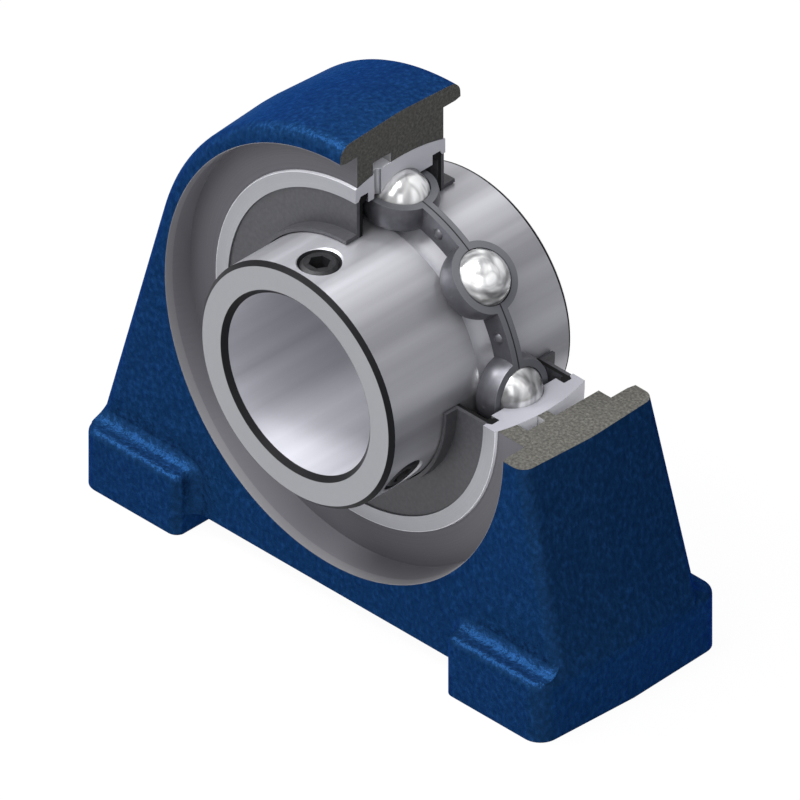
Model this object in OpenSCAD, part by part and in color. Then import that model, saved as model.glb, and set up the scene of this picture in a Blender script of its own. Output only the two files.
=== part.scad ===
// Pillow block bearing with a short cast base, shown as a sectioned display unit.
// The origin is the bearing centre. X runs along the base, Y along the shaft, Z up.
// The long, set-screw side of the inner ring faces -Y.

/* [Bearing rings] */
// Shaft bore of the inner ring
bore_d = 30; // [26:0.5:32]
// Wall of the inner ring under its race
inner_wall = 3.7875; // [3:0.0125:5]
// Height of the inner ring's outside above the bottom of its race
inner_rise = 1.6125; // [1:0.0125:2.2]
// Bearing centre to the set-screw end of the inner ring
inner_long = 22.2; // [20:0.1:30]
// Bearing centre to the plain end of the inner ring
inner_short = 15.9; // [12:0.1:22]
// Wall of the outer ring behind its race
outer_wall = 2.6875; // [2.2:0.0125:4]
// Depth of the outer race below the ring's inside
outer_rise = 2.2625; // [1:0.0125:2.4]
// Width of the outer ring
outer_w = 19; // [17:0.1:22]
// Bevel at the ends of the shaft bore
bore_bevel = 0.8; // [0.2:0.1:1]
// Bevel at the outer edge of the inner ring's set-screw end
rim_bevel = 0.7; // [0.3:0.1:1.2]
// Bevel at the outer edge of the inner ring's plain end
back_bevel = 0.4; // [0.2:0.1:1.2]

/* [Balls and cage] */
// Ball diameter
ball_d = 9.525; // [8.5:0.005:10.5]
// Gap between a ball and the bottom of each race
ball_gap = 0.02; // [0.01:0.01:0.1]
// Race groove radius as a multiple of the ball radius
race_fit = 1.04; // [1.02:0.01:1.08]
// Sheet thickness of the pressed cage
cage_t = 1.05; // [0.6:0.05:1.3]
// Gap between a ball and its cage pocket
pocket_gap = 0.15; // [0.1:0.05:0.4]
// Gap between the cage and the inner ring
cage_in_gap = 1.1; // [0.6:0.1:1.6]
// Gap between the cage and the shoulder of the outer ring
cage_out_gap = 0.5; // [0.3:0.1:1]
// Shank diameter of the cage rivets
rivet_d = 1.1; // [0.8:0.05:1.4]
// Head diameter of the cage rivets
rivet_head_d = 1.9; // [1.5:0.05:2.4]
// Height of the domed rivet heads
rivet_head_h = 0.55; // [0.3:0.05:0.8]

/* [Shields and seals] */
// Step out from the outer ring's inside to the mouth that holds a shield
mouth_step = 0.95; // [0.6:0.05:1.4]
// Sheet thickness of the shields
shield_t = 0.6; // [0.4:0.05:0.8]
// Depth of a shield below the face of the outer ring
shield_set = 0.3; // [0.1:0.05:0.6]
// Length of the turned-out collar at the inside of a shield
collar_l = 2.9; // [1:0.1:4]
// Gap between a shield's collar and the inner ring
collar_gap = 0.2; // [0.15:0.05:0.4]
// Thickness of the rubber seal behind a shield
seal_t = 0.6; // [0.4:0.05:0.8]
// Gap between the seal's lip and the inner ring
lip_gap = 0.05; // [0.03:0.01:0.15]
// Depth of the snap groove for the seal's bead, beyond the mouth
bead_groove = 0.4; // [0.2:0.05:0.6]
// Width of the seal's bead along the shaft
bead_w = 0.85; // [0.6:0.05:1.2]

/* [Set screws] */
// Thread diameter of the set screws
screw_d = 6; // [5:0.5:6]
// Length of a set screw
screw_l = 5.2; // [4.5:0.1:5.5]
// Size of the hex socket across its flats
socket_af = 3; // [2:0.1:3.5]
// Bearing centre to the plane of the set screws
screw_y = 17.1; // [16:0.1:17.6]
// Depth of a set screw below the outside of the inner ring
screw_set = 0.2; // [0.1:0.1:0.8]
// Angle between the two set screws
screw_angle = 120; // [60:5:120]

/* [Housing] */
// Height of the shaft centre above the base
centre_h = 43.4; // [42:0.1:60]
// Length of the base
base_l = 98.8; // [96:0.1:130]
// Width of the feet along the shaft
foot_w = 38.2; // [35:0.1:50]
// Height of the feet
foot_h = 10.5; // [8:0.1:12]
// Length of each foot
foot_l = 21.2; // [19.5:0.1:22]
// Height of the underside between the feet above the base
base_relief = 3.2; // [0.5:0.1:5]
// Thickness of the housing at the height of the shaft
web_t = 28; // [26:0.1:30]
// Draft of the front and back faces
face_draft = 2.05; // [0:0.05:3]
// Draft of the arch and legs, outside the straight band along the parting line
rim_draft = 2.9; // [0:0.1:3.5]
// Width of the straight band along the parting line
crown_w = 4; // [2:0.5:16]
// Draft of the feet's end faces on each side of the parting line
end_draft = 2.5; // [0:0.1:3]
// Wall of the arch around the recess
arch_wall = 3.85; // [3:0.05:8]
// Radius of the cast edges
cast_r = 2; // [1:0.1:2.5]
// Radius of the upright corners at the outer ends of the feet
corner_r = 3; // [2.5:0.1:4]
// Radius of the upright corners at the inner ends of the feet
inner_corner_r = 1.7; // [1:0.1:2.5]

/* [Housing bore] */
// Gap between the outer ring and its spherical seat
seat_gap = 0.03; // [0.02:0.01:0.1]
// Width of the spherical seat along the shaft
seat_w = 18.2; // [17:0.1:20]
// Step from the outer ring out to the wall of the side recess
recess_step = 4.4; // [3.6:0.1:5]
// Growth in radius of the flare at the mouth of the recess
flare_step = 0.3; // [0.1:0.05:0.8]
// Slope of that flare, in degrees
flare_slope = 12; // [8:1:45]
// Depth of the grease groove in the seat
grease_depth = 1.7; // [0.5:0.1:3]
// Width of the grease groove
grease_w = 3.8; // [2:0.1:5]
// Bearing centre to the middle of the grease groove
grease_y = 3.9; // [3:0.1:4.5]
// Bearing centre to the grease hole in the outer ring
grease_hole_y = 4.8; // [3.5:0.1:5]
// Diameter of the grease hole in the outer ring
grease_hole_d = 1.5; // [1:0.1:2]
// Gap around the outer ring in the filling slots, across the base
slot_gap_x = 1.8; // [0.5:0.1:2.6]
// Gap beside the outer ring's faces in the filling slots
slot_gap_z = 0.4; // [0.3:0.1:1]

/* [Base bolts] */
// Distance between the two tapped base holes
bolt_l = 72; // [72:0.5:78]
// Wall diameter of the tapped base holes
bolt_d = 11.8; // [8:0.1:12]
// Depth of the tapped base holes
bolt_depth = 16; // [10:0.5:18]

/* [Hidden] */

$fn = 96;
// How far a cutting shape runs past the surface that it opens
over = 1;
// Thickness of the slices that a hull joins
slice = 0.01;

// Diameters that follow from the bore outwards
pitch_d = bore_d + 2 * inner_wall + ball_d;
inner_od = pitch_d - ball_d + 2 * inner_rise;
outer_d = pitch_d + ball_d + 2 * outer_wall;
shoulder_d = pitch_d + ball_d - 2 * outer_rise;
mouth_d = shoulder_d + 2 * mouth_step;

bore_r = bore_d / 2;
inner_r = inner_od / 2;
outer_r = outer_d / 2;
shoulder_r = shoulder_d / 2;
mouth_r = mouth_d / 2;
ball_r = ball_d / 2;
pitch_r = pitch_d / 2;
balls = 8;
ball_step = 360 / balls;
half_w = outer_w / 2;

race_r = race_fit * ball_r;
outer_race = pitch_r + ball_r + ball_gap - race_r;
inner_race = pitch_r - ball_r - ball_gap + race_r;

cage_in = inner_r + cage_in_gap;
cage_out = shoulder_r - cage_out_gap;
pocket_r = ball_r + pocket_gap;
cage_half_w = pocket_r + cage_t;
rivet_gap = 0.02;

shield_out = half_w - shield_set;
shield_in = shield_out - shield_t;
seal_in = shield_in - seal_t;
rubber_gap = 0.05;
groove_r = mouth_r + 2 * bead_groove;
groove_end = seal_in + bead_groove;
groove_start = groove_end - bead_w - 2 * bead_groove + rubber_gap;
bead_out = groove_r - rubber_gap;
bead_in = mouth_r - seal_t;

thread_gap = 0.05;
screw_r = screw_d / 2;
screw_out = inner_r - screw_set;
screw_bevel = 0.5;
hole_bevel = 0.35;
socket_depth = 2.6;
hex_r = socket_af / 2 / cos(30);

recess_r = outer_r + recess_step;
arch_r = recess_r + arch_wall;
seat_r = outer_r + seat_gap;
seat_half = seat_w / 2;
foot_z = foot_h - centre_h;
foot_in = base_l / 2 - foot_l;
foot_y = foot_w / 2;
web_half = web_t / 2;
web_lean = tan(face_draft);
rim_lean = tan(rim_draft);
end_lean = tan(end_draft);
crown_half = crown_w / 2;
web_foot_y = web_half - web_lean * foot_z;
leg_step = 0.1;
leg_x = base_l / 2 - leg_step;
leg_angle = acos(arch_r / norm([leg_x, foot_z])) - atan(-foot_z / leg_x);
arch_steps = 48;
fillet_steps = 5;
fillet_sink = 1;
fillet_bite = 0.05;
fillet_short = 0.8;
relief_step = 0.2;
slot_x = outer_r + slot_gap_x;
slot_z = half_w + slot_gap_z;
housing_reach = base_l + centre_h;

// The removed quarter, on the +X side above the shaft centre
module quarter() {
    translate([0, -housing_reach / 2, 0])
        cube([housing_reach, housing_reach, housing_reach]);
}

// A solid of revolution about the shaft axis: the profile's points are radius and distance along Y
module turned(points) {
    rotate([-90, 0, 0])
        rotate_extrude()
            polygon([for (p = points) [p[0], p[1]]]);
}

// The same solid on the front side, where Y is negative
module turned_front(points) {
    rotate([90, 0, 0])
        rotate_extrude()
            polygon([for (p = points) [p[0], p[1]]]);
}

// Puts its child at a clock angle around the shaft, counted from +X towards +Z
module around(angle) {
    rotate([0, -angle, 0])
        children();
}

// Outline of the arch and its two legs, seen along the shaft and drawn in by d
function leg_foot(d) = (arch_r - d - foot_z * sin(leg_angle)) / cos(leg_angle);
function arch_outline(d) = concat(
    [for (i = [0:arch_steps])
        let (a = leg_angle + (180 - 2 * leg_angle) * i / arch_steps)
        [(arch_r - d) * cos(a), (arch_r - d) * sin(a)]],
    [[-leg_foot(d), foot_z],
     [-leg_foot(d) + 2 * leg_step, -centre_h],
     [leg_foot(d) - 2 * leg_step, -centre_h],
     [leg_foot(d), foot_z]]);

// One thin slice of the arch at y from the parting line, leaning with the face on that side
module arch_slice(y, d, side) {
    multmatrix([[1, 0, 0, 0], [0, 1, -side * web_lean, side * y], [0, 0, 1, 0]])
        rotate([90, 0, 0])
            linear_extrude(slice, center = true)
                polygon(arch_outline(d));
}

// Arch and legs as one draughted casting with rounded edges
module arch_body() {
    edge_d = rim_lean * (web_half - cast_r - crown_half);
    hull() {
        rotate([90, 0, 0])
            linear_extrude(crown_w, center = true)
                polygon(arch_outline(0));
        for (side = [-1, 1])
            for (i = [0:fillet_steps]) {
                a = 90 * i / fillet_steps;
                arch_slice(web_half - cast_r * (1 - sin(a)), edge_d + cast_r * (1 - cos(a)), side);
            }
    }
}

// A foot at the +X end, with rounded upright corners and rounded top edges
module foot_body() {
    end_x = base_l / 2;
    hull() {
        translate([end_x - over, -slice / 2, -centre_h])
            cube([over, slice, foot_h]);
        for (side = [-1, 1])
            for (i = [0:fillet_steps]) {
                a = 90 * i / fillet_steps;
                d = cast_r * (1 - cos(a));
                z = i == 0 ? -centre_h : foot_z - cast_r * (1 - sin(a)) - slice;
                h = i == 0 ? foot_h - cast_r : slice;
                outer_y = foot_y - corner_r;
                translate([end_x - end_lean * outer_y - corner_r, side * (outer_y - d), z])
                    cylinder(r = corner_r, h = h, $fn = 32);
                translate([foot_in + inner_corner_r + d, side * (foot_y - inner_corner_r - d), z])
                    cylinder(r = inner_corner_r, h = h, $fn = 32);
            }
    }
}

// Cross-section of a concave cast fillet in the corner at the origin, sunk into both walls
module fillet_section() {
    difference() {
        translate([-fillet_sink, -fillet_sink])
            square(cast_r + fillet_sink);
        translate([cast_r, cast_r])
            circle(cast_r + fillet_bite);
    }
}

// The fillet between a foot and the front or back face, along the foot's top and down its inner end
module foot_fillet() {
    fillet_end = base_l / 2 - end_lean * foot_y - fillet_short;
    turn_x = foot_in + cast_r;
    turn_z = foot_z - cast_r;
    translate([0, web_foot_y, 0]) {
        translate([turn_x, 0, foot_z])
            rotate([90, 0, 90])
                linear_extrude(fillet_end - turn_x)
                    fillet_section();
        translate([turn_x, 0, turn_z])
            rotate([90, 0, 0])
                mirror([0, 0, 1])
                    rotate_extrude(angle = 90, start = 90)
                        translate([cast_r, 0])
                            fillet_section();
        translate([foot_in, 0, -centre_h])
            mirror([1, 0, 0])
                linear_extrude(foot_h - cast_r)
                    fillet_section();
    }
}

// Recess on the +Y side, with a flare that leans with the face
module side_recess() {
    mouth_y = web_half + centre_h * web_lean + over;
    mouth_r = recess_r + flare_step;
    flare_l = 2 * flare_step / tan(flare_slope);
    turned([[0, seat_half], [recess_r, seat_half], [recess_r, mouth_y], [0, mouth_y]]);
    translate([0, web_half, 0])
        rotate([face_draft, 0, 0])
            turned([[0, -flare_l], [recess_r - flare_step, -flare_l],
                    [mouth_r + over * tan(flare_slope), over], [0, over]]);
}

// Seat, side recesses, grease groove and filling slots, all about the shaft axis
module housing_bore() {
    intersection() {
        sphere(seat_r, $fn = 128);
        translate([-outer_d, -seat_half - over, -outer_d])
            cube([2 * outer_d, seat_w + 2 * over, 2 * outer_d]);
    }
    side_recess();
    mirror([0, 1, 0])
        side_recess();
    turned_front([[0, grease_y - grease_w / 2], [outer_r + grease_depth, grease_y - grease_w / 2],
                  [outer_r + grease_depth, grease_y + grease_w / 2], [0, grease_y + grease_w / 2]]);
    translate([-slot_x, 0, -slot_z])
        cube([2 * slot_x, seat_half + over, 2 * slot_z]);
}

module base_holes() {
    for (side = [-1, 1])
        translate([side * bolt_l / 2, 0, -centre_h - over])
            cylinder(d = bolt_d, h = bolt_depth + over);
}

module base_underside() {
    relief_x = foot_in - relief_step;
    translate([-relief_x, -foot_w, -centre_h - over])
        cube([2 * relief_x, 2 * foot_w, base_relief + over]);
}

module housing() {
    color([0.07, 0.22, 0.45])
        difference() {
            union() {
                arch_body();
                for (flip = [0, 1])
                    mirror([flip, 0, 0]) {
                        foot_body();
                        foot_fillet();
                        mirror([0, 1, 0])
                            foot_fillet();
                    }
            }
            base_underside();
            housing_bore();
            base_holes();
            quarter();
        }
}

// Ring-shaped race groove swept by a circle of the race radius
module race(centre_r) {
    rotate([90, 0, 0])
        rotate_extrude()
            translate([centre_r, 0])
                circle(race_r);
}

module outer_ring() {
    color([0.65, 0.66, 0.67])
        difference() {
            intersection() {
                sphere(outer_r, $fn = 128);
                translate([-outer_d, -half_w, -outer_d])
                    cube([2 * outer_d, outer_w, 2 * outer_d]);
            }
            turned([[0, -outer_w], [shoulder_r, -outer_w], [shoulder_r, outer_w], [0, outer_w]]);
            race(outer_race);
            for (flip = [0, 1])
                mirror([0, flip, 0])
                    turned([[0, groove_start], [groove_r, groove_start], [groove_r, groove_end],
                            [mouth_r, groove_end + bead_groove], [mouth_r, outer_w], [0, outer_w]]);
            translate([0, -grease_hole_y, 0])
                cylinder(d = grease_hole_d, h = outer_d);
            quarter();
        }
}

// One radial screw hole through the inner ring, with a bevelled mouth
module screw_hole() {
    hole_r = screw_r + thread_gap;
    rotate([0, 90, 0]) {
        cylinder(r = hole_r, h = inner_od);
        translate([0, 0, inner_r - 2 * hole_bevel])
            cylinder(r1 = hole_r, r2 = hole_r + 3 * hole_bevel, h = 3 * hole_bevel);
    }
}

// Puts its child on the axis of a set screw: 0 is the upper one, 1 the lower
module at_screw(which) {
    translate([0, -screw_y, 0])
        around(90 - which * screw_angle)
            children();
}

module inner_ring() {
    color([0.68, 0.69, 0.7])
        difference() {
            turned([[bore_r, bore_bevel - inner_long], [bore_r + bore_bevel, -inner_long],
                    [inner_r - rim_bevel, -inner_long], [inner_r, rim_bevel - inner_long],
                    [inner_r, inner_short - back_bevel], [inner_r - back_bevel, inner_short],
                    [bore_r + bore_bevel, inner_short], [bore_r, inner_short - bore_bevel]]);
            race(inner_race);
            at_screw(0) screw_hole();
            at_screw(1) screw_hole();
        }
}

// Socket set screw along +X, with a hex socket outside and a cup point inside
module set_screw() {
    color([0.12, 0.12, 0.13])
        translate([screw_out - screw_l, 0, 0])
            rotate([0, 90, 0])
                difference() {
                    rotate_extrude()
                        polygon([[0, 0], [screw_r - 2 * screw_bevel, 0], [screw_r, 2 * screw_bevel],
                                 [screw_r, screw_l - screw_bevel], [screw_r - screw_bevel, screw_l],
                                 [0, screw_l]]);
                    translate([0, 0, screw_l - socket_depth])
                        cylinder(r = hex_r, h = socket_depth + over, $fn = 6);
                    translate([0, 0, -slice])
                        cylinder(r1 = screw_r - 3 * screw_bevel, r2 = 0, h = screw_r / 2);
                }
}

module set_screw_top() {
    at_screw(0) set_screw();
}

module set_screw_side() {
    at_screw(1) set_screw();
}

// Ring of the cage's width, from y_low to y_high along the shaft
module cage_tube(y_low, y_high) {
    turned([[cage_in, y_low], [cage_out, y_low], [cage_out, y_high], [cage_in, y_high]]);
}

// Puts its child at each ball centre, with the child's own axis along the shaft
module at_balls() {
    for (i = [0:balls - 1])
        around(i * ball_step)
            translate([pitch_r, 0, 0])
                rotate([-90, 0, 0])
                    children();
}

// Puts its child midway between each two balls, with the child's own axis along the shaft
module at_rivets() {
    for (i = [0:balls - 1])
        around((i + 0.5) * ball_step)
            translate([pitch_r, 0, 0])
                rotate([-90, 0, 0])
                    children();
}

// Pressed half of the cage, on the +Y side: flat tabs with a spherical pocket for each ball
module cage_half() {
    color([0.33, 0.34, 0.36])
        difference() {
            intersection() {
                union() {
                    cage_tube(0, cage_t);
                    at_balls()
                        sphere(cage_half_w, $fn = 64);
                }
                cage_tube(0, cage_half_w + over);
            }
            at_balls()
                sphere(pocket_r, $fn = 64);
            at_rivets()
                cylinder(r = rivet_d / 2 + rivet_gap, h = 4 * cage_t, center = true, $fn = 24);
        }
}

module cage_front() {
    mirror([0, 1, 0])
        cage_half();
}

module cage_back() {
    cage_half();
}

// Rivet through both cage tabs, with a domed head at each end
module rivet() {
    head_r = rivet_head_d / 2;
    dome_r = (head_r * head_r + rivet_head_h * rivet_head_h) / (2 * rivet_head_h);
    cylinder(d = rivet_d, h = 2 * cage_t + rivet_head_h, center = true, $fn = 24);
    for (flip = [0, 1])
        mirror([0, 0, flip])
            intersection() {
                translate([0, 0, cage_t + rivet_head_h - dome_r])
                    sphere(dome_r, $fn = 48);
                translate([-rivet_head_d, -rivet_head_d, cage_t])
                    cube([2 * rivet_head_d, 2 * rivet_head_d, rivet_head_d]);
            }
}

module cage_rivets() {
    color([0.45, 0.46, 0.48])
        at_rivets()
            rivet();
}

module ball(i) {
    color([0.85, 0.86, 0.88])
        around((i - 1) * ball_step)
            translate([pitch_r, 0, 0])
                sphere(ball_r, $fn = 96);
}

// Steel shield on the +Y side: a flat ring with its inner edge turned outwards
module shield() {
    collar_in = inner_r + collar_gap;
    collar_out = collar_in + shield_t;
    shield_r = mouth_r - rubber_gap;
    color([0.33, 0.33, 0.34])
        difference() {
            turned([[collar_in, shield_in], [shield_r, shield_in], [shield_r, shield_out],
                    [collar_out, shield_out], [collar_out, shield_in + collar_l],
                    [collar_in, shield_in + collar_l]]);
            quarter();
        }
}

module shield_front() {
    mirror([0, 1, 0])
        shield();
}

module shield_back() {
    shield();
}

// Rubber seal behind the shield: a thin lip, and a bead that snaps into the outer ring
module seal() {
    color([0.05, 0.05, 0.05])
        difference() {
            turned([[inner_r + lip_gap, seal_in], [bead_in, seal_in], [bead_in, seal_in - bead_w / 2],
                    [mouth_r, groove_start + rubber_gap], [bead_out, groove_start + rubber_gap],
                    [bead_out, groove_end - rubber_gap], [mouth_r - rubber_gap, groove_end + bead_groove],
                    [mouth_r - rubber_gap, shield_in], [inner_r + lip_gap, shield_in]]);
            quarter();
        }
}

module seal_front() {
    mirror([0, 1, 0])
        seal();
}

module seal_back() {
    seal();
}

housing();
outer_ring();
inner_ring();
cage_front();
cage_back();
cage_rivets();
shield_front();
shield_back();
seal_front();
seal_back();
set_screw_top();
set_screw_side();
ball(1);  // ball_1
ball(2);  // ball_2
ball(3);  // ball_3
ball(4);  // ball_4
ball(5);  // ball_5
ball(6);  // ball_6
ball(7);  // ball_7
ball(8);  // ball_8
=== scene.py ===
import math

import bmesh
import bpy
from mathutils import Matrix, Vector


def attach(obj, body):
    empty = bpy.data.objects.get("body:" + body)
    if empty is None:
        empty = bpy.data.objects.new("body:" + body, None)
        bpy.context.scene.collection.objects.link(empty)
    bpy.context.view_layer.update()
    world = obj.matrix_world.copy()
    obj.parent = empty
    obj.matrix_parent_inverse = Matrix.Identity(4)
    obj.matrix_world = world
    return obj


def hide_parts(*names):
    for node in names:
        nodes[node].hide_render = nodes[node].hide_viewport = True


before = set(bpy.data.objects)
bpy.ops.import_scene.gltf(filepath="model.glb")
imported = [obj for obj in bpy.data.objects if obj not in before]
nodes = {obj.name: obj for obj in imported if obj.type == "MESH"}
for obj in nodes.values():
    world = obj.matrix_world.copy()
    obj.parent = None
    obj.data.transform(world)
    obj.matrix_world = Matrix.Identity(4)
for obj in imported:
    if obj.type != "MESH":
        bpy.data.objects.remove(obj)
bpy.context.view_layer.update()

# Sizes of the object, in metres, and how close to a face or an edge still counts as on it
BORE_R = 0.0150
INNER_R = 0.0204
INNER_LONG = 0.0222
INNER_SHORT = 0.0159
BORE_BEVEL = 0.0008
RIM_BEVEL = 0.0007
BACK_BEVEL = 0.0004
OUTER_R = 0.0310
BALL_R = 0.0047625
MOUTH_R = 0.0357
RECESS_R = 0.0354
SEAT_HALF = 0.0091
FLOOR_Z = -0.0434
BALLS = 8
CAGE_R = 0.02555
SCREW_Y = 0.0171
EDGE_SCALE = 0.00022
SCREW_HOLE_R = 0.00342
SCREW_ANGLES = (math.radians(90), math.radians(-30))
BOLT_X = 0.036
BOLT_HOLE_R = 0.00697
BOLT_HOLE_TOP = -0.0245
GROOVE_IN = 0.0345
ON_FACE = 0.00002
NEAR = 0.00003


# Camera

PICTURE_WIDTH = 0.11958
PICTURE_RIGHT = -0.000057
PICTURE_UP = -0.011106
CAMERA_BACK = 0.6


def set_camera():
    """Camera on the isometric line of the photograph, square to it and without perspective."""
    right = Vector((1, 1, 0)).normalized()
    up = Vector((-1, 1, 2)).normalized()
    back = Vector((1, -1, 1)).normalized()
    centre = PICTURE_RIGHT * right + PICTURE_UP * up
    turn = Matrix((right, up, back)).transposed().to_4x4()
    data = bpy.data.cameras.new("camera")
    data.type = "ORTHO"
    data.ortho_scale = PICTURE_WIDTH
    data.clip_start = 0.01
    data.clip_end = 10
    camera = bpy.data.objects.new("camera", data)
    camera.matrix_world = Matrix.Translation(centre + CAMERA_BACK * back) @ turn
    bpy.context.scene.collection.objects.link(camera)
    bpy.context.scene.camera = camera


# Node helpers

def srgb(red, green, blue):
    """A colour as it is seen on a screen, 0 to 255, as the linear colour of a material."""
    def lin(value):
        value /= 255
        return value / 12.92 if value <= 0.04045 else ((value + 0.055) / 1.055) ** 2.4
    return (lin(red), lin(green), lin(blue), 1)


class Tree:
    """Short words for building a material's nodes."""

    def __init__(self, name):
        self.material = bpy.data.materials.new(name)
        self.material.use_nodes = True
        self.nodes = self.material.node_tree.nodes
        self.links = self.material.node_tree.links
        self.shader = self.nodes["Principled BSDF"]
        self.coords = self.nodes.new("ShaderNodeTexCoord").outputs["Object"]
        split = self.nodes.new("ShaderNodeSeparateXYZ")
        self.links.new(self.coords, split.inputs[0])
        self.x, self.y, self.z = split.outputs

    def put(self, socket, value):
        if isinstance(value, bpy.types.NodeSocket):
            self.links.new(value, socket)
        else:
            socket.default_value = value

    def math(self, kind, first, second=0.0, third=0.0):
        node = self.nodes.new("ShaderNodeMath")
        node.operation = kind
        for socket, value in zip(node.inputs, (first, second, third)):
            self.put(socket, value)
        return node.outputs[0]

    def above(self, value, limit):
        return self.math("GREATER_THAN", value, limit)

    def below(self, value, limit):
        return self.math("LESS_THAN", value, limit)

    def both(self, first, second):
        return self.math("MULTIPLY", first, second)

    def either(self, first, second):
        return self.math("MAXIMUM", first, second)

    def far(self, first, second):
        """Length of the two parts taken together."""
        return self.math("SQRT", self.math("MULTIPLY_ADD", first, first,
                                           self.math("MULTIPLY", second, second)))

    def sawn(self):
        """The upright and the level face that the removed quarter leaves."""
        upright = self.both(self.below(self.math("ABSOLUTE", self.x), ON_FACE), self.above(self.z, 0.0))
        level = self.both(self.below(self.math("ABSOLUTE", self.z), ON_FACE), self.above(self.x, 0.0))
        return upright, level

    def stretched(self, scale):
        node = self.nodes.new("ShaderNodeMapping")
        self.links.new(self.coords, node.inputs["Vector"])
        node.inputs["Scale"].default_value = scale
        return node.outputs[0]

    def vector(self, x, y, z):
        node = self.nodes.new("ShaderNodeCombineXYZ")
        for socket, value in zip(node.inputs, (x, y, z)):
            self.put(socket, value)
        return node.outputs[0]

    def noise(self, scale, detail=3.0, rough=0.55, where=None, twist=0.0):
        node = self.nodes.new("ShaderNodeTexNoise")
        self.links.new(where or self.coords, node.inputs["Vector"])
        node.inputs["Scale"].default_value = scale
        node.inputs["Detail"].default_value = detail
        node.inputs["Roughness"].default_value = rough
        node.inputs["Distortion"].default_value = twist
        return node.outputs["Fac"]

    def spread(self, value, low, high, out_low=0.0, out_high=1.0):
        node = self.nodes.new("ShaderNodeMapRange")
        for socket, number in zip(node.inputs, (value, low, high, out_low, out_high)):
            self.put(socket, number)
        return node.outputs[0]

    def ramp(self, value, stops):
        node = self.nodes.new("ShaderNodeValToRGB")
        self.links.new(value, node.inputs[0])
        ramp = node.color_ramp
        while len(ramp.elements) < len(stops):
            ramp.elements.new(0.5)
        for element, (place, colour) in zip(ramp.elements, stops):
            element.position = place
            element.color = colour
        return node.outputs[0]

    def mix(self, share, first, second):
        node = self.nodes.new("ShaderNodeMix")
        node.data_type = "RGBA"
        self.put(node.inputs["Factor"], share)
        self.put(node.inputs["A"], first)
        self.put(node.inputs["B"], second)
        return node.outputs["Result"]

    def blend(self, share, first, second):
        """Plain number between two numbers."""
        node = self.nodes.new("ShaderNodeMix")
        node.data_type = "FLOAT"
        self.put(node.inputs["Factor"], share)
        self.put(node.inputs["A"], first)
        self.put(node.inputs["B"], second)
        return node.outputs["Result"]

    def bump(self, height, strength, distance, normal=None):
        node = self.nodes.new("ShaderNodeBump")
        self.put(node.inputs["Strength"], strength)
        node.inputs["Distance"].default_value = distance
        self.links.new(height, node.inputs["Height"])
        if normal is not None:
            self.links.new(normal, node.inputs["Normal"])
        return node.outputs[0]

    def finish(self, colour, metallic, roughness, normal=None, **sockets):
        self.put(self.shader.inputs["Base Color"], colour)
        self.put(self.shader.inputs["Metallic"], metallic)
        self.put(self.shader.inputs["Roughness"], roughness)
        if normal is not None:
            self.links.new(normal, self.shader.inputs["Normal"])
        for name, value in sockets.items():
            self.put(self.shader.inputs[name.replace("_", " ")], value)
        return self.material


# Finishes

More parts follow.
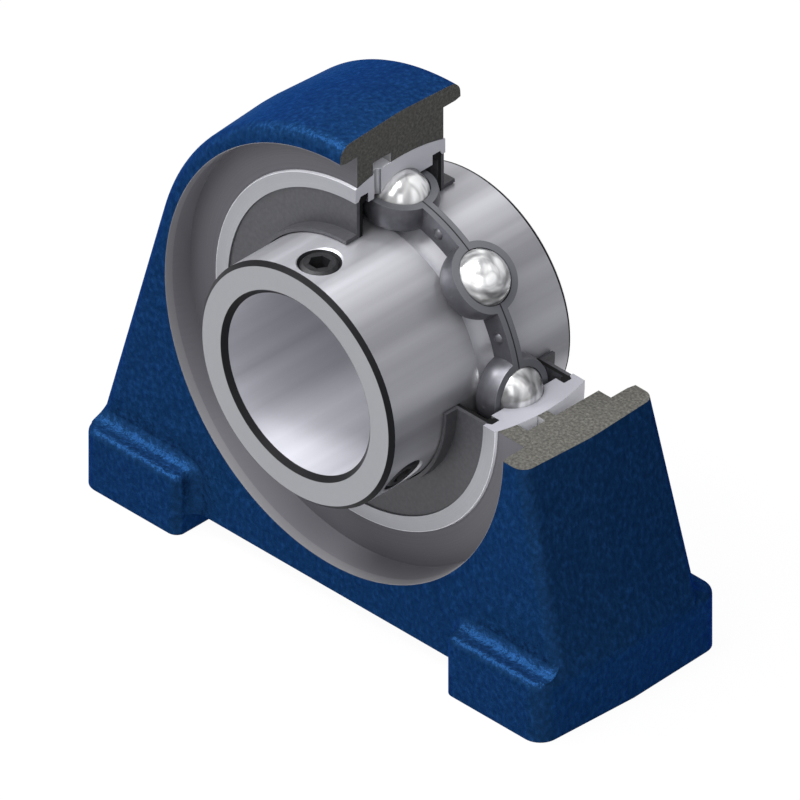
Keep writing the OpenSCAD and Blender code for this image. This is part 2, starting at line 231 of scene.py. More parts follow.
def housing_finish():
    """Blue enamel over a sand-cast skin, with turned bores and sawn section faces; painted shade on the
    upright sawn face and painted light on the recess wall and in the seat groove.
    """
    t = Tree("housing_enamel")
    radius = t.far(t.x, t.z)
    upright, level = t.sawn()
    sawn = t.either(upright, level)
    turned = t.below(radius, MOUTH_R + 0.00004)
    bed = t.below(t.z, FLOOR_Z + ON_FACE)
    hole_x = t.math("SUBTRACT", t.math("ABSOLUTE", t.x), BOLT_X)
    hole = t.both(t.below(t.far(hole_x, t.y), BOLT_HOLE_R), t.below(t.z, BOLT_HOLE_TOP))

    slant = t.stretched((1300, 1300, 1000))
    skin = t.noise(1.0, 2.0, 0.5, slant)
    swell = t.noise(240, 2.0, 0.5)
    paint = t.ramp(skin, [(0.32, srgb(14, 38, 67)), (0.55, srgb(18, 45, 79)), (0.75, srgb(23, 55, 96))])
    paint = t.mix(t.spread(swell, 0.35, 0.65, 0.0, 0.25), paint, srgb(16, 40, 71))

    grain = t.noise(2100, 4.0, 0.65)
    smear = t.noise(1.0, 4.0, 0.6, t.stretched((420, 900, 420)))
    iron = t.ramp(grain, [(0.30, srgb(44, 43, 41)), (0.5, srgb(71, 70, 66)), (0.72, srgb(98, 97, 91))])
    iron = t.mix(t.spread(smear, 0.35, 0.7, 0.0, 0.4), iron, srgb(60, 59, 56))
    # Painted shade: the upright sawn face is mixed 35% towards a darker grey than the level one, as if
    # less light fell on it.
    iron = t.mix(t.math("MULTIPLY", upright, 0.35), iron, srgb(48, 49, 51))

    lathe = t.noise(1.0, 2.0, 0.5, t.vector(t.math("MULTIPLY", radius, 5200.0),
                                            t.math("MULTIPLY", t.y, 5200.0), 0.0))
    flare = t.above(radius, RECESS_R + NEAR)
    groove = t.both(t.below(radius, GROOVE_IN), t.below(t.math("ABSOLUTE", t.y), SEAT_HALF - 0.0001))
    recess_wall_painted_light = t.above(radius, RECESS_R - NEAR)
    bare = t.ramp(lathe, [(0.3, srgb(84, 83, 88)), (0.7, srgb(88, 87, 92))])
    # Painted light: the recess wall is a lighter grey than the recess floor, standing in for light
    # reaching into the recess.
    bare = t.mix(recess_wall_painted_light, bare, srgb(104, 103, 108))
    bare = t.mix(flare, bare, srgb(118, 117, 120))
    # Painted light: the seat's grease groove is painted a much lighter grey, standing in for light that
    # the narrow groove's shade keeps out.
    bare = t.mix(groove, bare, srgb(150, 150, 152))

    colour = t.mix(turned, paint, bare)
    colour = t.mix(sawn, colour, iron)
    colour = t.mix(bed, colour, srgb(120, 120, 120))
    colour = t.mix(hole, colour, srgb(70, 70, 72))
    metal = t.blend(t.either(turned, t.either(bed, hole)), 0.5, 0.2)
    metal = t.blend(sawn, metal, 0.0)
    rough = t.blend(turned, t.spread(skin, 0.3, 0.7, 0.38, 0.48), 0.5)
    rough = t.blend(sawn, rough, 0.9)
    gloss = t.blend(t.either(turned, sawn), 0.0, 0.2)
    tint = t.mix(t.either(turned, sawn), (0.08, 0.4, 1.0, 1), (1, 1, 1, 1))

    height = t.blend(turned, t.math("MULTIPLY_ADD", swell, 0.4, skin), t.math("MULTIPLY", lathe, 0.004))
    height = t.blend(sawn, height, t.math("MULTIPLY", grain, 0.5))
    return t.finish(colour, metal, rough, t.bump(height, 1.0, 0.00024), Specular_IOR_Level=gloss,
                    Specular_Tint=tint)


def ring_finish(name, bevels):
    """Ground bearing steel, with a soft streaked tone that is partly uneven polish and partly painted
    reflection bands, and near-black bevels and set screw holes. The outer ring gets painted light on its
    outer surface and lit and shaded greys on its sawn faces; the inner ring gets painted light on its race
    and in its bore.
    """
    t = Tree(name)
    radius = t.far(t.x, t.z)
    along = t.noise(1.0, 2.0, 0.5, t.stretched((110, 2, 110)))
    fine = t.noise(1.0, 2.0, 0.6, t.stretched((900, 10, 900)))
    rings = t.noise(1.0, 2.0, 0.5, t.vector(t.math("MULTIPLY", radius, 6000.0), 0.0, 0.0))
    tone = t.math("MULTIPLY_ADD", fine, 0.08, along)
    rough = t.spread(fine, 0.3, 0.7, 0.34, 0.42)
    height = t.math("MULTIPLY_ADD", rings, 0.5, fine)
    grain = t.bump(height, 0.06, 0.00003)
    if not bevels:
        steel = t.ramp(rings, [(0.3, srgb(153, 154, 159)), (0.7, srgb(160, 161, 166))])
        upright, level = t.sawn()
        outer_face_painted_light = t.above(t.far(radius, t.y), OUTER_R - 0.00006)
        # Painted light: the ring's spherical outer surface is painted near white with little metal,
        # standing in for light that the housing's seat, groove and slot keep from it.
        steel = t.mix(outer_face_painted_light, steel, srgb(222, 222, 228))
        # Painted light and shade: the upright and the level sawn faces get different greys of one steel,
        # the level one darker because the lamps light it more.
        steel = t.mix(upright, steel, srgb(165, 165, 172))
        steel = t.mix(level, steel, srgb(136, 136, 143))
        metal = t.blend(t.either(t.either(upright, level), outer_face_painted_light), 0.75, 0.1)
        return t.finish(steel, metal, rough, grain)
    # Partly painted reflection: besides uneven polish, this streaked tone along the shaft stands in for
    # the soft bands that reflection lays on a turned ring.
    steel = t.ramp(tone, [(0.36, srgb(136, 136, 141)), (0.54, srgb(163, 163, 168)),
                          (0.72, srgb(190, 190, 196))])
    bore = t.below(radius, BORE_R + 0.0002)
    race_polish_and_painted_light = t.both(t.below(radius, INNER_R - 0.00008), t.below(t.math("ABSOLUTE", t.y), BALL_R))
    # Partly polish and partly painted light: the race is painted 60% towards near white, which stands in
    # for light and reflection that its groove's shade takes away.
    steel = t.mix(t.math("MULTIPLY", race_polish_and_painted_light, 0.6), steel, srgb(240, 240, 246))
    # Painted light: the bore is painted lighter and less metallic than the outside, standing in for
    # reflected light that the long bore's shade takes away.
    inside = t.ramp(tone, [(0.36, srgb(156, 156, 163)), (0.54, srgb(178, 178, 185)),
                           (0.72, srgb(200, 200, 207))])
    steel = t.mix(bore, steel, inside)
    dark = flat = 0.0
    ends = ((INNER_LONG, -1.0, RIM_BEVEL), (INNER_SHORT, 1.0, BACK_BEVEL + EDGE_SCALE))
    for long_y, sign, rim_bevel in ends:
        out = t.math("MULTIPLY", t.y, sign)
        rim = t.above(t.math("ADD", radius, out), INNER_R + long_y - rim_bevel - NEAR)
        edge = t.above(t.math("SUBTRACT", out, radius), long_y - BORE_R - BORE_BEVEL - NEAR)
        dark = t.either(dark, t.either(rim, edge))
        flat = t.either(flat, t.above(out, long_y - 0.00001))
    steel = t.mix(flat, steel, srgb(143, 144, 148))
    for angle in SCREW_ANGLES:
        across_x, across_z = -math.sin(angle), math.cos(angle)
        across = t.math("MULTIPLY_ADD", t.x, across_x, t.math("MULTIPLY", t.z, across_z))
        along_axis = t.math("MULTIPLY_ADD", t.x, across_z, t.math("MULTIPLY", t.z, -across_x))
        hole = t.both(t.below(t.far(across, t.math("ADD", t.y, SCREW_Y)), SCREW_HOLE_R),
                      t.above(along_axis, 0.0))
        dark = t.either(dark, hole)
    steel = t.mix(dark, steel, srgb(20, 20, 22))
    metal = t.blend(dark, t.blend(bore, 0.7, 0.3), 0.0)
    return t.finish(steel, metal, rough, grain, Specular_IOR_Level=t.blend(dark, 0.5, 0.05))


def ball_finish():
    """Polished chrome steel, with a painted reflection in its colour, light and grey swirls crossed by
    dark arcs, and a mottled roughness.
    """
    t = Tree("ball_chrome")
    mottle_and_painted_reflection = t.noise(150, 2.0, 0.5, None, 1.2)
    # Painted reflection: the white and grey swirls stand in for the mirror image that a chrome ball shows.
    colour = t.ramp(mottle_and_painted_reflection, [(0.36, srgb(112, 112, 113)), (0.48, srgb(168, 168, 169)),
                            (0.6, srgb(236, 236, 236))])
    painted_reflection_arcs = t.math("ABSOLUTE", t.math("SUBTRACT", t.noise(130, 0.0, 0.5, None, 2.5), 0.5))
    # Painted reflection: dark arcs like those that a mirror ball shows of its surroundings.
    colour = t.mix(t.spread(painted_reflection_arcs, 0.0, 0.09, 0.32, 0.0), colour, srgb(92, 92, 94))
    return t.finish(colour, 0.6, t.spread(mottle_and_painted_reflection, 0.3, 0.7, 0.24, 0.12))


def sheet_finish(name, colour, rough):
    """Pressed sheet steel with a faint drawn grain."""
    t = Tree(name)
    grain = t.noise(1400, 3.0, 0.6)
    red, green, blue = colour
    tone = t.ramp(grain, [(0.3, srgb(red - 5, green - 5, blue - 5)),
                          (0.7, srgb(red + 5, green + 5, blue + 5))])
    return t.finish(tone, 0.5, rough, t.bump(grain, 0.04, 0.00003))


def cage_finish():
    """Pressed sheet steel, brighter on its cut rim, partly bare cut steel and partly a painted highlight,
    with a dark line where the two halves meet.
    """
    t = Tree("cage_sheet")
    grain = t.noise(1400, 3.0, 0.6)
    body = t.ramp(grain, [(0.3, srgb(70, 70, 75)), (0.7, srgb(78, 78, 84))])
    rim = t.above(t.far(t.x, t.z), CAGE_R - 0.00005)
    joint = t.below(t.math("ABSOLUTE", t.y), 0.00013)
    # Partly painted highlight: the rim's lighter grey stands for bare cut steel and also for the light
    # that its edge catches.
    tone = t.mix(rim, body, srgb(98, 99, 104))
    tone = t.mix(joint, tone, srgb(34, 34, 37))
    return t.finish(tone, 0.5, 0.36, t.bump(grain, 0.04, 0.00003))


def rubber_finish():
    """Nitrile rubber, grey with talc on its skin and black where it is cut."""
    t = Tree("seal_nitrile")
    grain = t.noise(1800, 2.0, 0.6)
    upright, level = t.sawn()
    skin = t.ramp(grain, [(0.3, srgb(62, 62, 66)), (0.7, srgb(78, 78, 83))])
    tone = t.mix(t.either(upright, level), skin, srgb(10, 10, 11))
    return t.finish(tone, 0.0, 0.6, t.bump(grain, 0.1, 0.00004), Specular_IOR_Level=0.1)


def screw_finish():
    """Black oxide on machined steel."""
    t = Tree("screw_oxide")
    grain = t.noise(1600, 2.0, 0.6)
    tone = t.ramp(grain, [(0.3, srgb(24, 24, 26)), (0.7, srgb(40, 40, 43))])
    return t.finish(tone, 0.5, 0.5, t.bump(grain, 0.15, 0.00004))


# Floor, background and lamps

def seen_share(tree):
    """One for rays from the camera, a mirror or glass, and zero for those that only bring light."""
    path = tree.nodes.new("ShaderNodeLightPath")
    total = path.outputs["Is Camera Ray"]
    for name in ("Is Glossy Ray", "Is Transmission Ray"):
        node = tree.nodes.new("ShaderNodeMath")
        node.operation = "MAXIMUM"
        tree.links.new(total, node.inputs[0])
        tree.links.new(path.outputs[name], node.inputs[1])
        total = node.outputs[0]
    return total


def set_background():
    world = bpy.data.worlds.new("studio")
    bpy.context.scene.world = world
    world.use_nodes = True
    tree = world.node_tree
    white = tree.nodes["Background"]
    white.inputs["Color"].default_value = (1, 1, 1, 1)
    white.inputs["Strength"].default_value = 1.0
    soft = tree.nodes.new("ShaderNodeBackground")
    soft.inputs["Color"].default_value = (0.93, 0.96, 1.0, 1)
    soft.inputs["Strength"].default_value = 0.45
    mix = tree.nodes.new("ShaderNodeMixShader")
    tree.links.new(seen_share(tree), mix.inputs[0])
    tree.links.new(soft.outputs[0], mix.inputs[1])
    tree.links.new(white.outputs[0], mix.inputs[2])
    tree.links.new(mix.outputs[0], tree.nodes["World Output"].inputs["Surface"])


def set_floor():
    bm = bmesh.new()
    bmesh.ops.create_grid(bm, x_segments=1, y_segments=1, size=1.5,
                          matrix=Matrix.Translation((0, 0, FLOOR_Z - 0.00005)))
    mesh = bpy.data.meshes.new("floor")
    bm.to_mesh(mesh)
    bm.free()
    floor = bpy.data.objects.new("floor", mesh)
    bpy.context.scene.collection.objects.link(floor)
    material = bpy.data.materials.new("floor_white")
    material.use_nodes = True
    tree = material.node_tree
    paper = tree.nodes["Principled BSDF"]
    paper.inputs["Base Color"].default_value = (0.6, 0.6, 0.6, 1)
    paper.inputs["Roughness"].default_value = 1.0
    paper.inputs["Specular IOR Level"].default_value = 0.0
    glow = tree.nodes.new("ShaderNodeEmission")
    glow.inputs["Strength"].default_value = 1.0
    share = tree.nodes.new("ShaderNodeMath")
    share.operation = "MULTIPLY"
    share.inputs[1].default_value = 0.96
    tree.links.new(seen_share(tree), share.inputs[0])
    mix = tree.nodes.new("ShaderNodeMixShader")
    tree.links.new(share.outputs[0], mix.inputs[0])
    tree.links.new(paper.outputs[0], mix.inputs[1])
    tree.links.new(glow.outputs[0], mix.inputs[2])
    tree.links.new(mix.outputs[0], tree.nodes["Material Output"].inputs["Surface"])
    mesh.materials.append(material)


def add_lamp(name, place, size, power):
    """A square soft lamp that faces the object."""
    data = bpy.data.lights.new(name, "AREA")
    data.size = size
    data.energy = power
    lamp = bpy.data.objects.new(name, data)
    lamp.location = place
    lamp.rotation_euler = (-Vector(place)).to_track_quat("-Z", "Y").to_euler()
    bpy.context.scene.collection.objects.link(lamp)


def set_lamps():
    add_lamp("lamp_key", (-0.44, -0.29, 0.54), 0.16, 4.1)
    add_lamp("lamp_above", (-0.10, -0.16, 0.62), 0.35, 5.0)
    add_lamp("lamp_front", (-0.04, -0.46, 0.50), 0.30, 2.2)
    add_lamp("lamp_side", (0.45, -0.36, 0.36), 0.40, 1.5)


def set_reflector():
    """A tall board beside the object, dark at its foot and white on top, for the metal to mirror."""
    bm = bmesh.new()
    bmesh.ops.create_grid(bm, x_segments=1, y_segments=1, size=0.5)
    turn = Matrix.Rotation(math.radians(45), 4, "Z") @ Matrix.Rotation(math.radians(90), 4, "Y")
    place = Matrix.Translation((0.051, 0.051, FLOOR_Z + 0.5)) @ turn
    bmesh.ops.transform(bm, matrix=place, verts=bm.verts)
    mesh = bpy.data.meshes.new("reflector")
    bm.to_mesh(mesh)
    bm.free()
    board = bpy.data.objects.new("reflector", mesh)
    bpy.context.scene.collection.objects.link(board)
    t = Tree("reflector_board")
    height = t.spread(t.z, FLOOR_Z, 0.2)
    tone = t.ramp(height, [(0.0, (0.36, 0.36, 0.38, 1)), (0.25, (0.44, 0.44, 0.46, 1)),
                           (0.45, (0.75, 0.75, 0.76, 1)), (0.8, (1, 1, 1, 1))])
    glow = t.nodes.new("ShaderNodeEmission")
    t.links.new(tone, glow.inputs["Color"])
    t.links.new(glow.outputs[0], t.nodes["Material Output"].inputs["Surface"])
    mesh.materials.append(t.material)
    board.visible_camera = False
    board.visible_diffuse = False
    board.visible_shadow = False


# Shapes

class Outline:
    """A cross-section in the half-plane of radius and distance along the shaft, in millimetres."""

    def __init__(self, radius, y):
        self.bm = bmesh.new()
        self.first = self.last = self.bm.verts.new((radius, y, 0))

    def to(self, *points):
        for radius, y in points:
            corner = self.bm.verts.new((radius, y, 0))
            self.bm.edges.new((self.last, corner))
            self.last = corner
        return self

    def arc(self, centre, sweep, steps):
        """Carries the line on around a centre, by an angle in degrees from radius towards +Y."""
        out = bmesh.ops.spin(self.bm, geom=[self.last], cent=(centre[0], centre[1], 0), axis=(0, 0, 1),
                             angle=math.radians(sweep), steps=steps)
        self.last = [item for item in out["geom_last"] if isinstance(item, bmesh.types.BMVert)][0]
        return self

    def revolve(self, start=0.0, sweep=360.0, steps=144, closed=True):
        """Turns the section about the shaft, from a clock angle counted from +X towards +Z."""
        bm = self.bm
        if closed:
            bm.edges.new((self.last, self.first))
        bmesh.ops.scale(bm, vec=(0.001, 0.001, 0.001), verts=bm.verts)
        bmesh.ops.rotate(bm, verts=bm.verts, cent=(0, 0, 0),
                         matrix=Matrix.Rotation(math.radians(-start), 3, "Y"))
        edges = list(bm.edges)
        whole = sweep >= 360
        out = bmesh.ops.spin(bm, geom=edges, cent=(0, 0, 0), axis=(0, -1, 0), steps=steps,
                             angle=math.radians(sweep), use_merge=whole)
        if not whole:
            last = [item for item in out["geom_last"] if isinstance(item, bmesh.types.BMEdge)]
            bmesh.ops.edgeloop_fill(bm, edges=edges)
            bmesh.ops.edgeloop_fill(bm, edges=last)
        bmesh.ops.remove_doubles(bm, verts=bm.verts, dist=1e-7)
        bmesh.ops.recalc_face_normals(bm, faces=bm.faces)
        return bm


def to_object(name, bm):
    mesh = bpy.data.meshes.new(name)
    bm.to_mesh(mesh)
    bm.free()
    piece = bpy.data.objects.new(name, mesh)
    bpy.context.scene.collection.objects.link(piece)
    return piece


def combine(piece, tool, operation):
    """Cuts or joins one closed shape with another, which is used up."""
    change = piece.modifiers.new("join", "BOOLEAN")
    change.operation = operation
    change.solver = "EXACT"
    change.object = tool
    depsgraph = bpy.context.evaluated_depsgraph_get()
    mesh = bpy.data.meshes.new_from_object(piece.evaluated_get(depsgraph))
    piece.modifiers.clear()
    old = piece.data
    piece.data = mesh
    mesh.name = old.name
    bpy.data.meshes.remove(old)
    tool_mesh = tool.data
    bpy.data.objects.remove(tool)
    bpy.data.meshes.remove(tool_mesh)


def finish_piece(piece, material, body, slot, *replaced, sharp=30.0):
    """Smooth shading up to an angle, the finish, and the CAD nodes that the piece stands for."""
    mesh = piece.data
    mesh.materials.clear()
    mesh.materials.append(material)
    for face in mesh.polygons:
        face.use_smooth = True
    mesh.set_sharp_from_angle(angle=math.radians(sharp))
    even = piece.modifiers.new("even", "WEIGHTED_NORMAL")
    even.keep_sharp = True
    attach(piece, body)
    if replaced:
        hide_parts(*replaced)
    return piece


def box_shape(low, high):
    """A block between two corners, in millimetres."""
    bm = bmesh.new()
    bmesh.ops.create_cube(bm, size=1)
    size = [(b - a) / 1000 for a, b in zip(low, high)]
    middle = [(a + b) / 2000 for a, b in zip(low, high)]
    bmesh.ops.scale(bm, vec=size, verts=bm.verts)
    bmesh.ops.translate(bm, vec=middle, verts=bm.verts)
    return bm


# Housing, with its own sizes in millimetres

ARCH_R = 39.25
CROWN_HALF = 1.0
WEB_HALF = 14.0
WEB_LEAN = math.tan(math.radians(2.05))
RIM_LEAN = 0.0507
CAST_R = 2.0
FOOT_Z = -32.9
FOOT_HALF = 19.1
FOOT_IN = 28.2
BASE_HALF = 49.4
END_LEAN = math.tan(math.radians(2.5))
CENTRE_H = 43.4
RELIEF = 3.2
FOOT_TRIM = 0.03
FILLET = 2.3
EDGE_R = 1.25
FILLET_SINK = 0.6
SEAT_R = 31.03
GROOVE_OUT = 32.7
GROOVE_START = 5.8
GROOVE_END = 2.0
SLOT_X = 32.8
SLOT_Z = 9.9
SLOT_Y = 10
CUT_LENGTH = 30
CUTTER_IN = 0.001
FLARE_STEP = 0.3
FLARE_SLOPE = math.tan(math.radians(12))
THREAD_MOUTH_R = 7.0
THREAD_CORE_R = 5.9
THREAD_R = 6.9
THREAD_PITCH = 2.0
THREAD_START = 1.2
THREAD_END = 13
HOLE_DEPTH = 16
HOLE_TIP = 18.5
SLIVER = 0.00002


def leg_angle():
    leg_x = BASE_HALF - 0.1
    return math.acos(ARCH_R / math.hypot(leg_x, FOOT_Z)) - math.atan(-FOOT_Z / leg_x)


def arch_shape():
    """Arch and legs: an outline drawn out to each face with draft, a leaning face and rounded edges."""
    lean = leg_angle()
    foot = (ARCH_R - FOOT_Z * math.sin(lean)) / math.cos(lean)
    bm = bmesh.new()
    start = bm.verts.new((ARCH_R * math.cos(lean), 0, ARCH_R * math.sin(lean)))
    out = bmesh.ops.spin(bm, geom=[start], cent=(0, 0, 0), axis=(0, -1, 0), steps=90,
                         angle=math.pi - 2 * lean)
    end = [item for item in out["geom_last"] if isinstance(item, bmesh.types.BMVert)][0]
    corners = [bm.verts.new(place) for place in ((-foot, 0, FOOT_Z), (-foot + 0.2, 0, -CENTRE_H + 0.2),
                                                 (foot - 0.2, 0, -CENTRE_H + 0.2), (foot, 0, FOOT_Z))]
    for first, second in zip([end] + corners, corners + [start]):
        bm.edges.new((first, second))
    crown = bmesh.ops.contextual_create(bm, geom=bm.edges)["faces"][0]
    out = bmesh.ops.extrude_face_region(bm, geom=[crown])
    moved = [item for item in out["geom"] if isinstance(item, bmesh.types.BMVert)]
    bmesh.ops.translate(bm, vec=(0, -CROWN_HALF, 0), verts=moved)
    front = [item for item in out["geom"] if isinstance(item, bmesh.types.BMFace)][0]
    bmesh.ops.recalc_face_normals(bm, faces=bm.faces)
    bmesh.ops.inset_region(bm, faces=[front], thickness=RIM_LEAN * (WEB_HALF - CROWN_HALF),
                           use_even_offset=True)
    face_verts = list(front.verts)
    bmesh.ops.translate(bm, vec=(0, CROWN_HALF - WEB_HALF, 0), verts=face_verts)
    shear = Matrix(((1, 0, 0, 0), (0, 1, WEB_LEAN, 0), (0, 0, 1, 0), (0, 0, 0, 1)))
    bmesh.ops.transform(bm, matrix=shear, verts=face_verts)
    bmesh.ops.bevel(bm, geom=list(front.edges), offset=CAST_R, offset_type="OFFSET", segments=8,
                    profile=0.5, affect="EDGES", material=-1, clamp_overlap=False)
    middle = [face for face in bm.faces if all(abs(v.co.y) < 1e-6 for v in face.verts)]
    bmesh.ops.delete(bm, geom=middle, context="FACES_ONLY")
    bmesh.ops.mirror(bm, geom=list(bm.verts) + list(bm.edges) + list(bm.faces), axis="Y",
                     matrix=Matrix.Identity(4), merge_dist=1e-4)
    bmesh.ops.scale(bm, vec=(0.001, 0.001, 0.001), verts=bm.verts)
    bmesh.ops.recalc_face_normals(bm, faces=bm.faces)
    return bm


def foot_block(inner, top, lean):
    """Block over a foot's plan, with upright corners of two radii and an outer end that may lean in."""
    bm = box_shape((inner, -FOOT_HALF, -CENTRE_H), (BASE_HALF, FOOT_HALF, top))
    bmesh.ops.bisect_plane(bm, geom=list(bm.verts) + list(bm.edges) + list(bm.faces),
                           plane_co=(0, 0, 0), plane_no=(0, 1, 0))
    for corner in bm.verts:
        if corner.co.x > 0.04:
            corner.co.x -= END_LEAN * abs(corner.co.y) + lean * (corner.co.z - (FOOT_Z - EDGE_R) / 1000)
    for outer, radius in ((True, 0.003), (False, 0.0017)):
        upright = [edge for edge in bm.edges
                   if all((v.co.x > 0.04) == outer and abs(v.co.y) > 0.01 for v in edge.verts)
                   and abs(edge.verts[0].co.z - edge.verts[1].co.z) > 0.001]
        bmesh.ops.bevel(bm, geom=upright, offset=radius, offset_type="OFFSET", segments=10, profile=0.5,
                        affect="EDGES", material=-1)
    return bm


def foot_shape():
    """One foot with rounded top edges."""
    bm = foot_block(FOOT_IN, FOOT_Z, 0)
    top = FOOT_Z / 1000 - 1e-6
    rim = [edge for edge in bm.edges
           if all(v.co.z > top for v in edge.verts) and edge.calc_face_angle() > 0.5]
    bmesh.ops.bevel(bm, geom=rim, offset=EDGE_R / 1000, offset_type="OFFSET", segments=6, profile=0.5,
                    affect="EDGES", material=-1)
    return bm


def sweep_face(bm, faces, move=None, centre=None, axis=None, steps=1):
    """Draw faces on along a line, or round an axis by a quarter turn, and return the last ones."""
    if move:
        out = bmesh.ops.extrude_face_region(bm, geom=faces)["geom"]
        moved = [item for item in out if isinstance(item, bmesh.types.BMVert)]
        bmesh.ops.translate(bm, vec=move, verts=moved)
    else:
        out = bmesh.ops.spin(bm, geom=faces, cent=centre, axis=axis, angle=math.pi / 2,
                             steps=steps)["geom_last"]
    return [item for item in out if isinstance(item, bmesh.types.BMFace)]


def fillet_shape():
    """Cast fillet round a leg's rounded edge, along the foot's top and down the foot's inner end."""
    corner_x = BASE_HALF - 0.1 - RIM_LEAN * (WEB_HALF - CROWN_HALF) - CAST_R
    corner_y = WEB_HALF - WEB_LEAN * FOOT_Z - CAST_R
    low, high = FOOT_Z - EDGE_R / 2, FOOT_Z + FILLET
    toe = corner_x + CAST_R + FILLET - 0.05
    heel = corner_x + CAST_R - FILLET_SINK
    bm = bmesh.new()
    start = bm.verts.new((toe, corner_y, FOOT_Z))
    out = bmesh.ops.spin(bm, geom=[start], cent=(toe, corner_y, high), axis=(0, 1, 0),
                         angle=math.pi / 2, steps=10)
    end = [item for item in out["geom_last"] if isinstance(item, bmesh.types.BMVert)][0]
    corners = [bm.verts.new((x, corner_y, z)) for x, z in ((heel, high), (heel, low), (toe, low))]
    for first, second in zip([end] + corners, corners + [start]):
        bm.edges.new((first, second))
    last = bmesh.ops.contextual_create(bm, geom=bm.edges)["faces"]
    last = sweep_face(bm, last, centre=(corner_x, corner_y, 0), axis=(0, 0, 1), steps=12)
    last = sweep_face(bm, last, move=(FOOT_IN + EDGE_R - corner_x, 0, 0))
    last = sweep_face(bm, last, centre=(FOOT_IN + EDGE_R, 0, FOOT_Z - EDGE_R), axis=(0, -1, 0), steps=8)
    sweep_face(bm, last, move=(0, 0, EDGE_R - CENTRE_H - FOOT_Z))
    inside = [face for face in bm.faces if all(len(edge.link_faces) > 2 for edge in face.edges)]
    bmesh.ops.delete(bm, geom=inside, context="FACES_ONLY")
    lean = math.tan(leg_angle())
    for vert in bm.verts:
        vert.co.y -= WEB_LEAN * (vert.co.z - FOOT_Z)
        if vert.co.x > corner_x - 0.01:
            vert.co.x -= lean * (vert.co.z - FOOT_Z)
    bmesh.ops.scale(bm, vec=(0.001, 0.001, 0.001), verts=bm.verts)
    bmesh.ops.remove_doubles(bm, verts=bm.verts, dist=1e-7)
    bmesh.ops.recalc_face_normals(bm, faces=bm.faces)
    return bm


def bore_shape():
    """Recesses, spherical seat and grease groove, turned about the shaft as one cutter."""
    half = SEAT_HALF * 1000
    recess = RECESS_R * 1000
    edge = math.degrees(math.asin(half / SEAT_R))
    low = math.degrees(math.asin(GROOVE_START / SEAT_R))
    high = math.degrees(math.asin(GROOVE_END / SEAT_R))
    outline = Outline(CUTTER_IN, -CUT_LENGTH).to((recess, -CUT_LENGTH), (recess, -half))
    outline.to((SEAT_R * math.cos(math.radians(edge)), -half))
    outline.arc((0, 0), edge - low, 5)
    outline.to((GROOVE_OUT, -GROOVE_START), (GROOVE_OUT, -GROOVE_END))
    outline.to((SEAT_R * math.cos(math.radians(high)), -GROOVE_END))
    outline.arc((0, 0), high + edge, 16)
    outline.to((recess, half), (recess, CUT_LENGTH), (CUTTER_IN, CUT_LENGTH))
    return outline.revolve(steps=180)


def flare_shape(side):
    """Cutter for the flare at the mouth of a recess, square to the leaning face."""
    radius = RECESS_R * 1000
    start = -2 * FLARE_STEP / FLARE_SLOPE
    outline = Outline(CUTTER_IN, start)
    outline.to((radius - FLARE_STEP, start), (radius + FLARE_STEP + 2 * FLARE_SLOPE, 2), (CUTTER_IN, 2))
    bm = outline.revolve(steps=180)
    place = Matrix.Translation((0, WEB_HALF / 1000, 0)) @ Matrix.Rotation(math.atan(WEB_LEAN), 4, "X")
    if side < 0:
        place = Matrix.Scale(-1, 4, (0, 1, 0)) @ place
    bmesh.ops.transform(bm, matrix=place, verts=bm.verts)
    bmesh.ops.recalc_face_normals(bm, faces=bm.faces)
    return bm


def bolt_hole_shape(side):
    """Cutter for a tapped base hole, with the ridges of its thread."""
    outline = Outline(CUTTER_IN, -1).to((THREAD_MOUTH_R, -1), (THREAD_MOUTH_R, 0.4))
    y = THREAD_START
    while y < THREAD_END:
        outline.to((THREAD_CORE_R, y), (THREAD_CORE_R, y + 0.3), (THREAD_R, y + 0.9), (THREAD_R, y + 1.15))
        y += THREAD_PITCH
    outline.to((THREAD_CORE_R, y), (THREAD_CORE_R, HOLE_DEPTH), (CUTTER_IN, HOLE_TIP))
    bm = outline.revolve(steps=64)
    place = Matrix.Translation((side * BOLT_X, 0, FLOOR_Z)) @ Matrix.Rotation(math.pi / 2, 4, "X")
    bmesh.ops.transform(bm, matrix=place, verts=bm.verts)
    return bm


def from_mesh(mesh):
    bm = bmesh.new()
    bm.from_mesh(mesh)
    return bm


def join_mirrored(piece, bm, side, face):
    """Joins a shape to the casting, mirrored to its side and face."""
    bmesh.ops.scale(bm, vec=(side, face, 1), verts=bm.verts)
    bmesh.ops.recalc_face_normals(bm, faces=bm.faces)
    combine(piece, to_object("foot", bm), "UNION")


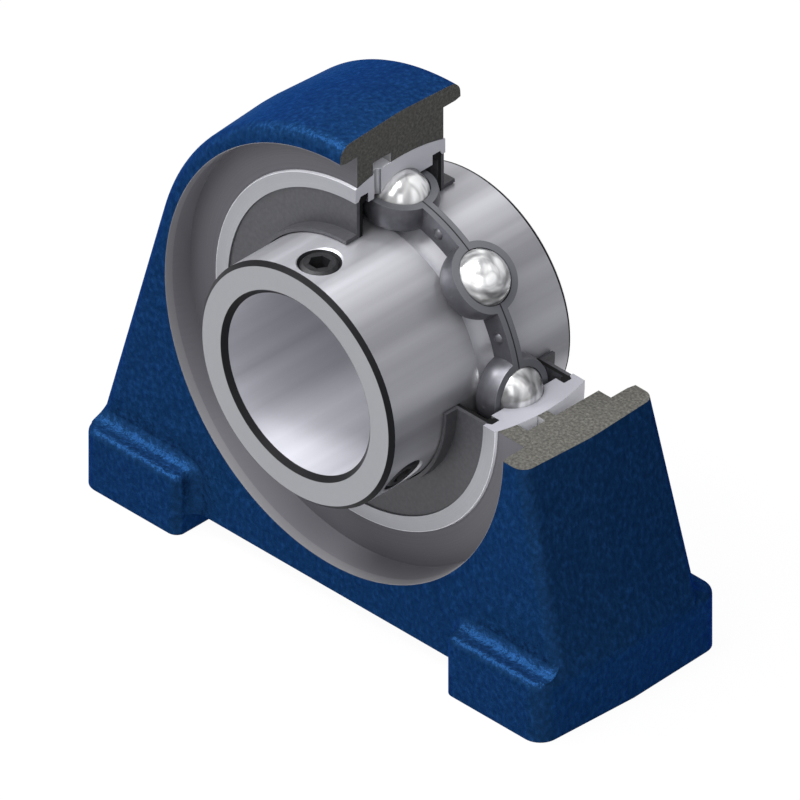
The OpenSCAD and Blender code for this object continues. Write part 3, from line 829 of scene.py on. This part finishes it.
def clean(mesh):
    """Merges the slivers that the cutters leave, and drops edges and corners without a face."""
    bm = from_mesh(mesh)
    bmesh.ops.remove_doubles(bm, verts=bm.verts, dist=SLIVER)
    bmesh.ops.dissolve_degenerate(bm, edges=bm.edges, dist=SLIVER / 2)
    bmesh.ops.delete(bm, geom=[edge for edge in bm.edges if not edge.link_faces], context="EDGES")
    bmesh.ops.delete(bm, geom=[vert for vert in bm.verts if not vert.link_faces], context="VERTS")
    bmesh.ops.recalc_face_normals(bm, faces=bm.faces)
    bm.to_mesh(mesh)
    bm.free()


def make_housing():
    piece = to_object("housing_casting", arch_shape())
    fillet = to_object("fillet", fillet_shape())
    limit = foot_block(FOOT_IN / 2, FOOT_Z + FILLET + 1, math.tan(leg_angle()))
    bmesh.ops.translate(limit, vec=(-0.0001, 0, 0), verts=limit.verts)
    combine(fillet, to_object("limit", limit), "INTERSECT")
    for side in (1, -1):
        join_mirrored(piece, foot_shape(), side, 1)
        for face in (1, -1):
            join_mirrored(piece, from_mesh(fillet.data), side, face)
    bpy.data.objects.remove(fillet)
    inner = FOOT_IN + FOOT_TRIM
    relief = box_shape((-inner, -40, -60), (inner, 40, -CENTRE_H + RELIEF))
    slot = box_shape((-SLOT_X, 0, -SLOT_Z), (SLOT_X, SLOT_Y, SLOT_Z))
    quarter = box_shape((0, -60, 0), (80, 60, 80))
    cutters = (relief, bore_shape(), flare_shape(1), flare_shape(-1), bolt_hole_shape(1),
               bolt_hole_shape(-1), slot, quarter)
    for number, bm in enumerate(cutters):
        combine(piece, to_object("cutter_%d" % number, bm), "DIFFERENCE")
    clean(piece.data)
    return finish_piece(piece, housing_finish(), "housing", "housing_paint", "housing")


# Dressing the object

def dress(name, material):
    mesh = nodes[name].data
    mesh.materials.clear()
    mesh.materials.append(material)


set_camera()
set_background()
set_floor()
set_lamps()
set_reflector()

steel = ring_finish("outer_ring_steel", False)
cage = cage_finish()
shield = sheet_finish("shield_sheet", (71, 71, 75), 0.45)
rubber = rubber_finish()
oxide = screw_finish()
chrome = ball_finish()
make_housing()
dress("outer_ring", steel)
dress("inner_ring", ring_finish("inner_ring_steel", True))
for half in ("cage_front", "cage_back", "cage_rivets"):
    dress(half, cage)
for side in ("front", "back"):
    dress("shield_" + side, shield)
    dress("seal_" + side, rubber)
for place in ("top", "side"):
    dress("set_screw_" + place, oxide)
for number in range(1, BALLS + 1):
    dress("ball_%d" % number, chrome)

bpy.context.scene.view_settings.view_transform = "Standard"
